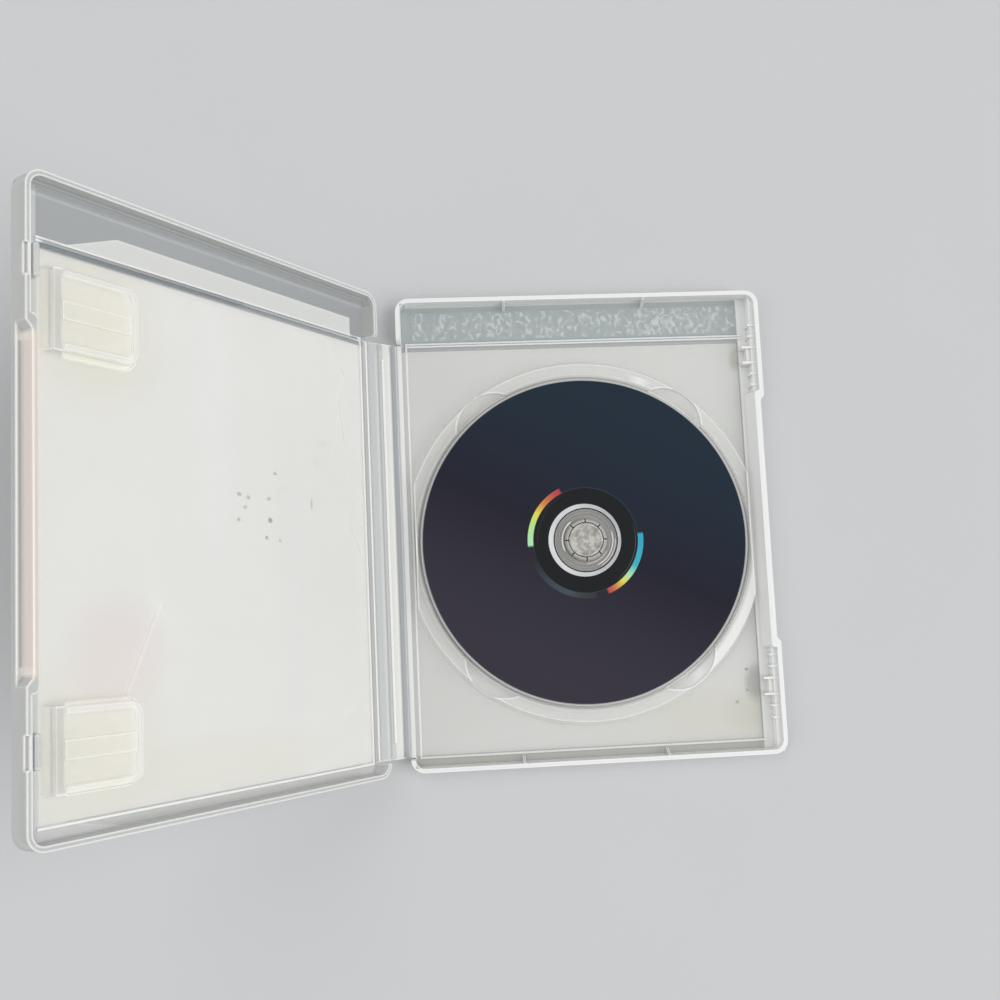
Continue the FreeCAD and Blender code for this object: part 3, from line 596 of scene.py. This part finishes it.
def frosted_plastic(
    name,
    local,
    inside,
    shades,
    bare_body,
    wall_body,
    blots,
    streaks=(),
    arcs=(),
    crest_level=None,
    flap=False,
):
    """Milky polypropylene: shaded by what backs it, with painted highlights on its edges, painted shade in
    its inner corners, denser in its walls.
    """
    material, tree, shader = new_material(name, {"IOR": PLASTIC_IOR})
    where = place(tree)
    spot = local(tree, where)
    across, along, level = axis_parts(tree, spot)

    # Zones inside the walls, in them, and above and below the paper
    left, right, low, high = (part * MM for part in inside)
    middle = calc(
        tree,
        "MULTIPLY",
        band(tree, across, left, right, ZONE_BLUR * MM),
        band(tree, along, low, high, ZONE_BLUR * MM),
    )
    wall = calc(tree, "SUBTRACT", 1.0, middle)
    above = step(tree, along, PAPER_HEAD * MM, ZONE_BLUR * MM)
    below = step(tree, along, PAPER_FOOT * MM, ZONE_BLUR * MM, FALL)

    # Colour
    backed, header, foot, wall_shade = shades
    milk = cloud(tree, where, size=22.0, detail=1.0)
    colour = tint(tree, milk, opaque(backed, MILK_SHADE), opaque(backed))
    for zone, shade in ((above, header), (below, foot), (wall, wall_shade)):
        colour = tint(tree, zone, colour, opaque(shade))
    # Painted shade in the inner corners, weaker in the walls
    corner_shade = calc(tree, "MULTIPLY", hollows(tree), spread(tree, wall, UNIT, (1.0, WALL_CORNER_SHADE)))
    colour = tint(tree, corner_shade, colour, CORNER_SHADE_COLOUR)
    # Painted highlights along the convex edges, partly the denser look of the plastic there; the tops of the
    # front cover's fittings turn white with them
    edge = convex_edges(tree)
    if crest_level is not None:
        crest = spread(tree, level, (crest_level * MM, (crest_level + CREST_RISE) * MM), (0.0, CREST_WHITE))
        edge = calc(tree, "MAXIMUM", edge, calc(tree, "MULTIPLY", crest, middle))
    colour = tint(tree, edge, colour, EDGE_HIGHLIGHT_COLOUR)
    colour, stain_and_light_cover = stain_and_paint_light(tree, colour, spot, blots, streaks, arcs)
    if flap:
        backing = calc(tree, "MULTIPLY", flap_mask(tree, across, along), FLAP_STRENGTH)
        colour = tint(tree, backing, colour, FLAP_COLOUR)
        stain_and_light_cover = calc(tree, "MAXIMUM", stain_and_light_cover, backing)
    feed(tree, shader, "Base Color", colour)

    # Density
    facing = node(tree, "LayerWeight", {"Blend": FACING_BLEND}).outputs["Facing"]
    body = spread(tree, facing, UNIT, PLASTIC_BODY)
    bare = calc(tree, "MULTIPLY", calc(tree, "MAXIMUM", above, below), middle)
    for zone, extra in ((wall, wall_body), (bare, bare_body)):
        body = calc(tree, "ADD", body, calc(tree, "MULTIPLY", zone, extra))
    for mask, least in ((stain_and_light_cover, MARK_BODY), (edge, EDGE_BODY)):
        body = calc(tree, "MAXIMUM", body, calc(tree, "MULTIPLY", mask, least))
    feed(tree, shader, "Alpha", body)

    # Surface
    grain = cloud(tree, stretch(tree, where, GRAIN_STRETCH), size=0.9, detail=0.0)
    roughen(tree, shader, grain, GRAIN_ROUGHNESS, GRAIN_RANGE)
    relief(tree, shader, grain, depth=0.002, strength=0.2)
    return material


def button_plastic(name):
    """The hub button's rubbed grey plastic, mottled by use, with painted shade in its inner corners and
    painted highlights on its edges.
    """
    worn, clean = (0.33, 0.325, 0.295, 1), (0.64, 0.63, 0.585, 1)
    worn_range = (0.35, 0.65)
    corner_shade_colour, corner_shade_strength = (0.25, 0.25, 0.24, 1), 0.5
    edge_highlight_colour, edge_highlight_strength = (0.82, 0.82, 0.79, 1), 0.6
    material, tree, shader = new_material(name, {"IOR": PLASTIC_IOR, "Alpha": 0.85})
    mottle = cloud(tree, place(tree), size=2.4, detail=4.0, rough=0.6)
    colour = tint(tree, spread(tree, mottle, worn_range), worn, clean)
    # Painted shade in the inner corners and painted highlights along the edges
    colour = tint(tree, calc(tree, "MULTIPLY", hollows(tree), corner_shade_strength), colour, corner_shade_colour)
    colour = tint(tree, calc(tree, "MULTIPLY", convex_edges(tree), edge_highlight_strength), colour, edge_highlight_colour)
    feed(tree, shader, "Base Color", colour)
    roughen(tree, shader, mottle, (0.18, 0.34))
    relief(tree, shader, mottle, depth=0.25, strength=0.7, rounding=0.3)
    return material


def crinkled_plastic(name):
    """The header's wrinkled floor, denser on the crests of its wrinkles and painted paler there as a
    highlight.
    """
    low_colour, crest_highlight_colour = (0.54, 0.61, 0.62, 1), (0.84, 0.87, 0.865, 1)
    density = (0.16, 0.5)
    material, tree, shader = new_material(name, {"IOR": PLASTIC_IOR})
    where = place(tree)
    level = axis_parts(tree, where)[2]
    pale_from, pale_to = TRAY_FLOOR + CRINKLE_PALE_FROM, TRAY_FLOOR + CRINKLE_HEIGHT
    # Painted highlight: the crests are paler the higher they rise
    crest = spread(tree, level, (pale_from * MM, pale_to * MM))
    feed(tree, shader, "Base Color", tint(tree, crest, low_colour, crest_highlight_colour))
    feed(tree, shader, "Alpha", spread(tree, crest, UNIT, density))
    roughen(tree, shader, cloud(tree, where, size=2.0, detail=3.0), (0.18, 0.32))
    return material


def white_paper(name, local, shade, blots):
    """Plain coated paper, with fibre mottling and the marks of handling."""
    material, tree, shader = new_material(name, {"Roughness": 0.62})
    where = place(tree)
    colour = tint(tree, cloud(tree, where, size=14.0), opaque(shade, PAPER_SHADE), opaque(shade))
    colour, _ = stain_and_paint_light(tree, colour, local(tree, where), blots)
    feed(tree, shader, "Base Color", colour)
    relief(tree, shader, cloud(tree, where, size=0.3, detail=0.0), depth=0.02, strength=0.4)
    return material


def clear_film(name):
    """Thin hazy film that lies in soft waves, dense at the flaps where it is folded over."""
    wave_stretch = (1.0, 0.35, 1.0)
    material, tree, shader = new_material(name, {"IOR": PLASTIC_IOR, "Base Color": (0.92, 0.925, 0.91, 1)})
    where = place(tree)
    along = calc(tree, "ABSOLUTE", axis_parts(tree, where)[1])
    feed(tree, shader, "Alpha", step(tree, along, SHEET_END * MM, FILM_BLUR * MM, FILM_BODY))
    waves = cloud(tree, stretch(tree, where, wave_stretch), size=14.0)
    roughen(tree, shader, waves, (0.10, 0.2))
    relief(tree, shader, waves, depth=0.25, strength=0.5)
    return material


def data_side(name):
    """Dark mirror of the data layer: painted navy reflection, charcoal hub print, and a band with painted
    spectral arcs.
    """
    charcoal_colour, seam_colour = (0.004, 0.006, 0.008, 1), (0.035, 0.055, 0.065, 1)
    material, tree, shader = new_material(name, {"Roughness": 0.07, "IOR": 1.52})
    where = place(tree)
    across, up, _ = axis_parts(tree, where)
    radius = axis_distance(tree, where)
    # Painted reflection, changing from the lower left to the upper right
    slope = calc(tree, "ADD", calc(tree, "MULTIPLY", across, DISC_REFLECTION_LEAN), up)
    colour = ramp(tree, spread(tree, slope, (-DISC_RADIUS * MM, DISC_RADIUS * MM)), DISC_REFLECTION)
    charcoal = band(tree, radius, 0.0, CHARCOAL_ZONE * MM, PRINT_BLUR * MM)
    colour = tint(tree, charcoal, colour, charcoal_colour)
    seam_in, seam_out = ((CHARCOAL_ZONE + part) * MM for part in SEAM)
    seam = band(tree, radius, seam_in, seam_out, PRINT_BLUR * MM)
    colour = tint(tree, calc(tree, "MULTIPLY", seam, SEAM_STRENGTH), colour, seam_colour)
    ring = band(tree, radius, CHARCOAL_ZONE * MM, BAND_ZONE * MM, BAND_BLUR * MM)
    # Painted spectral arcs in the band
    for side, first, last, stops in RAINBOWS:
        ends = (math.radians(first), math.radians(last))
        angle = calc(tree, "ARCTAN2", calc(tree, "MULTIPLY", up, side), calc(tree, "MULTIPLY", across, side))
        sweep = band(tree, angle, min(ends), max(ends), math.radians(RAINBOW_BLUR))
        spectrum = ramp(tree, spread(tree, angle, ends), stops)
        colour = tint(tree, calc(tree, "MULTIPLY", ring, sweep), colour, spectrum)
    feed(tree, shader, "Base Color", colour)
    return material


def clear_polycarbonate(name):
    """Bare rim and hub of the disc, clear with a bright gloss, moulded rings, painted glints, a painted
    bright rim line and fine rubbing.
    """
    plain_colour, plain_body = (0.50, 0.495, 0.48, 1), 0.42
    material, tree, shader = new_material(name, {"IOR": 1.58, "Coat Weight": 0.5})
    where = place(tree)
    # Dark moulded rings, with painted glints and a painted bright line round the rim
    colour, rings = stain_and_paint_light(tree, plain_colour, where, arcs=HUB_RINGS_AND_GLINTS)
    feed(tree, shader, "Base Color", colour)
    feed(tree, shader, "Alpha", calc(tree, "MAXIMUM", rings, plain_body))
    roughen(tree, shader, cloud(tree, where, size=3.0, detail=3.0), (0.06, 0.16))
    return material


def silver_ring(name):
    """Metal ring round the hub, with painted light: bright on the hinge side and shaded across from it."""
    bright, shaded_side = (0.86, 0.87, 0.88, 1), (0.58, 0.59, 0.60, 1)
    material, tree, shader = new_material(name, {"Metallic": 0.6})
    where = place(tree)
    across = axis_parts(tree, where)[0]
    # Painted light: lit on the hinge side, shaded across from it
    fading = spread(tree, across, (-SILVER_ZONE * MM, SILVER_ZONE * MM))
    feed(tree, shader, "Base Color", tint(tree, fading, bright, shaded_side))
    roughen(tree, shader, cloud(tree, where, size=5.0), (0.30, 0.38))
    return material


def label_print(name):
    """Plain pale print on the label side."""
    dark, pale = (0.55, 0.56, 0.58, 1), (0.62, 0.63, 0.64, 1)
    material, tree, shader = new_material(name, {"Roughness": 0.4})
    mottle = cloud(tree, place(tree), size=6.0, detail=3.0)
    feed(tree, shader, "Base Color", tint(tree, mottle, dark, pale))
    return material


def ground_paint(name):
    """Plain pale paint, faintly mottled."""
    material, tree, shader = new_material(name, {"Roughness": 0.75})
    mottle = cloud(tree, place(tree), size=60.0)
    dark, pale = opaque(GROUND_COLOUR, GROUND_SHADE), opaque(GROUND_COLOUR)
    feed(tree, shader, "Base Color", tint(tree, mottle, dark, pale))
    return material


# Pieces


def dress(name, material):
    """Give a CAD node its material."""
    target = frame["nodes"][name]
    target.data.materials.clear()
    target.data.materials.append(material)


def add_object(name, data):
    made = bpy.data.objects.new(name, data)
    bpy.context.scene.collection.objects.link(made)
    return made


def finished_mesh(name, shape):
    """Turn a bmesh into a mesh with its faces looking outwards."""
    bmesh.ops.recalc_face_normals(shape, faces=shape.faces)
    data = bpy.data.meshes.new(name)
    shape.to_mesh(data)
    shape.free()
    return data


def turned_disc():
    """The disc as a turned shape, each zone of radius with its own material."""
    bottom = SEAT_LEVEL
    top = SEAT_LEVEL + DISC_THICKNESS
    inner, crest, outer = STACK_RING
    profile = [
        (DISC_HOLE + RIM_BEVEL, bottom, "clear"),
        (DISC_HOLE, bottom + RIM_BEVEL, "clear"),
        (DISC_HOLE, top - RIM_BEVEL, "clear"),
        (DISC_HOLE + RIM_BEVEL, top, "clear"),
        *((radius, top - drop, "clear") for radius, drop in HUB_GROOVES),
        (CLEAR_ZONE, top, "data"),
        (BLACK_LINE, top, "silver"),
        (SILVER_ZONE, top, "data"),
        (inner, top, "data"),
        (crest, top + STACK_RING_HEIGHT, "data"),
        (outer, top, "data"),
        (CHARCOAL_ZONE, top, "data"),
        (BAND_ZONE, top, "data"),
        (DATA_ZONE, top, "clear"),
        (DISC_RADIUS - RIM_BEVEL, top, "clear"),
        (DISC_RADIUS, top - RIM_BEVEL, "clear"),
        (DISC_RADIUS, bottom + RIM_BEVEL, "clear"),
        (DISC_RADIUS - RIM_BEVEL, bottom, "clear"),
        (DATA_ZONE, bottom, "label"),
        (SILVER_ZONE, bottom, "label"),
        (CLEAR_ZONE, bottom, "clear"),
    ]
    materials = {
        "clear": clear_polycarbonate("disc_clear"),
        "silver": silver_ring("disc_silver"),
        "data": data_side("disc_data"),
        "label": label_print("disc_label"),
    }
    order = list(materials)
    shape = bmesh.new()
    rings = []
    for radius, height, _ in profile:
        shift = SILVER_SHIFT if (radius, height) == (SILVER_ZONE, top) else 0.0
        ring = []
        for segment in range(DISC_SEGMENTS):
            angle = 2 * math.pi * segment / DISC_SEGMENTS
            spot = Vector((shift + radius * math.cos(angle), radius * math.sin(angle), height))
            ring.append(shape.verts.new(spot * MM))
        rings.append(ring)
    for index, (_, _, zone) in enumerate(profile):
        here = rings[index]
        following = rings[(index + 1) % len(rings)]
        sloping = abs(following[0].co.z - here[0].co.z) > LEVEL_TOLERANCE
        for segment in range(DISC_SEGMENTS):
            beside = (segment + 1) % DISC_SEGMENTS
            face = shape.faces.new((here[segment], here[beside], following[beside], following[segment]))
            face.material_index = order.index(zone)
            face.smooth = sloping
    data = finished_mesh("disc_body", shape)
    for material in materials.values():
        data.materials.append(material)
    made = add_object("disc_body", data)
    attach(made, "back")
    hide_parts("disc")


def noise_layer(x, y, layer, shift_x=0.0, shift_y=0.0):
    scale_x, scale_y, seed = layer
    return noise.noise(Vector((x * scale_x + shift_x, y * scale_y + shift_y, seed)))


def wrinkle(x, y):
    """Height from 0 to 1 of fine flecks all over the header, with longer wavy crests in some places."""
    bend = noise_layer(x, y, BEND_NOISE)
    fold = noise_layer(x, y, FOLD_NOISE, FOLD_BEND * bend, bend)
    gathering = GATHER_MIDDLE + GATHER_SWING * noise_layer(x, y, GATHER_NOISE)
    share = min(GATHER_MOST, max(GATHER_LEAST, gathering))
    crest = max(0.0, 1 - FOLD_NARROWNESS * abs(fold)) * share
    fleck = FLECK_MIDDLE + FLECK_SWING * noise_layer(x, y, FLECK_NOISE, bend, -bend)
    return min(1.0, max(0.0, crest, fleck))


def header_crinkle(material):
    """Crinkled relief on the floor of the tray's header, closed by an underside and four sides."""
    left, right, low, high = HEADER_FIELD
    columns = int((right - left) / CRINKLE_STEP)
    rows = int((high - low) / CRINKLE_STEP)
    shape = bmesh.new()
    top = []
    under = []
    for row in range(rows + 1):
        y = low + (high - low) * row / rows
        top_row = []
        under_row = []
        for column in range(columns + 1):
            x = left + (right - left) * column / columns
            inward = min(column, columns - column, row, rows - row) / CRINKLE_RISE
            lift = CRINKLE_HEIGHT * wrinkle(x, y) * min(inward, 1)
            top_row.append(shape.verts.new(Vector((x, y, TRAY_FLOOR + CRINKLE_BORDER + lift)) * MM))
            under_row.append(shape.verts.new(Vector((x, y, TRAY_FLOOR + CRINKLE_UNDER)) * MM))
        top.append(top_row)
        under.append(under_row)
    for row in range(rows):
        for column in range(columns):
            for sheet in (top, under):
                here, following = sheet[row], sheet[row + 1]
                shape.faces.new((here[column], here[column + 1], following[column + 1], following[column]))
    for row in (0, rows):
        upper, lower = top[row], under[row]
        for column in range(columns):
            shape.faces.new((upper[column], lower[column], lower[column + 1], upper[column + 1]))
    for column in (0, columns):
        upper, lower = [row[column] for row in top], [row[column] for row in under]
        for row in range(rows):
            shape.faces.new((upper[row], upper[row + 1], lower[row + 1], lower[row]))
    for face in shape.faces:
        face.smooth = True
    data = finished_mesh("header_crinkle", shape)
    data.materials.append(material)
    made = add_object("header_crinkle", data)
    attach(made, "back")


# Stage


def make_floor():
    """Wide level floor just under the case."""
    reach = GROUND_REACH * MM
    corners = [(-reach, -reach, 0), (reach, -reach, 0), (reach, reach, 0), (-reach, reach, 0)]
    data = bpy.data.meshes.new("floor")
    data.from_pydata(corners, [], [(0, 1, 2, 3)])
    data.materials.append(ground_paint("floor_paint"))
    made = add_object("floor", data)
    made.location.z = cad_box[0][2] - GROUND_DROP * MM


def make_lamp(name, source, strength, spread_angle):
    """Broad even light from one direction."""
    data = bpy.data.lights.new(name, "SUN")
    data.energy = strength
    data.angle = math.radians(spread_angle)
    lamp = add_object(name, data)
    lamp.location = Vector(source) * MM
    lamp.rotation_euler = (-lamp.location).to_track_quat("-Z", "Y").to_euler()


def make_world():
    world = bpy.data.worlds.new("studio")
    world.use_nodes = True
    background = world.node_tree.nodes["Background"]
    background.inputs["Color"].default_value = WORLD_COLOUR
    background.inputs["Strength"].default_value = WORLD_STRENGTH
    bpy.context.scene.world = world


def make_camera():
    data = bpy.data.cameras.new("camera")
    data.lens = CAMERA_LENS
    data.sensor_width = CAMERA_SENSOR
    data.shift_x, data.shift_y = CAMERA_SHIFT
    data.clip_start = CAMERA_NEAR * MM
    camera = add_object("camera", data)
    camera.location = Vector(CAMERA_PLACE) * MM
    camera.rotation_euler = Euler([math.radians(part) for part in CAMERA_TURN], "XYZ")
    bpy.context.scene.camera = camera


dress(
    "back_cover",
    frosted_plastic("tray_plastic", row_frame, **TRAY_PLASTIC, blots=TRAY_BLOTS, arcs=BANK_HIGHLIGHTS),
)
dress("spine", frosted_plastic("spine_plastic", spine_frame, **SPINE_PLASTIC, blots=SPINE_BLOTS))
dress(
    "front_cover",
    frosted_plastic("lid_plastic", lid_frame, **LID_PLASTIC, blots=LID_BLOTS, streaks=LID_STREAKS, flap=True),
)
dress("hub_button", button_plastic("button_plastic"))
tray_paper = white_paper("tray_paper", row_frame, TRAY_PAPER, TRAY_PAPER_BLOTS)
dress("insert_back", tray_paper)
dress("insert_spine", tray_paper)
dress("insert_front", white_paper("lid_paper", lid_frame, LID_PAPER, LID_PAPER_BLOTS))
film = clear_film("film")
for panel in ("front", "spine", "back"):
    dress("film_" + panel, film)
turned_disc()
header_crinkle(crinkled_plastic("crinkled_plastic"))
make_floor()
make_world()
for lamp_name, lamp_values in LAMPS.items():
    make_lamp(lamp_name, *lamp_values)
make_camera()
bpy.context.scene.view_settings.view_transform = "Standard"
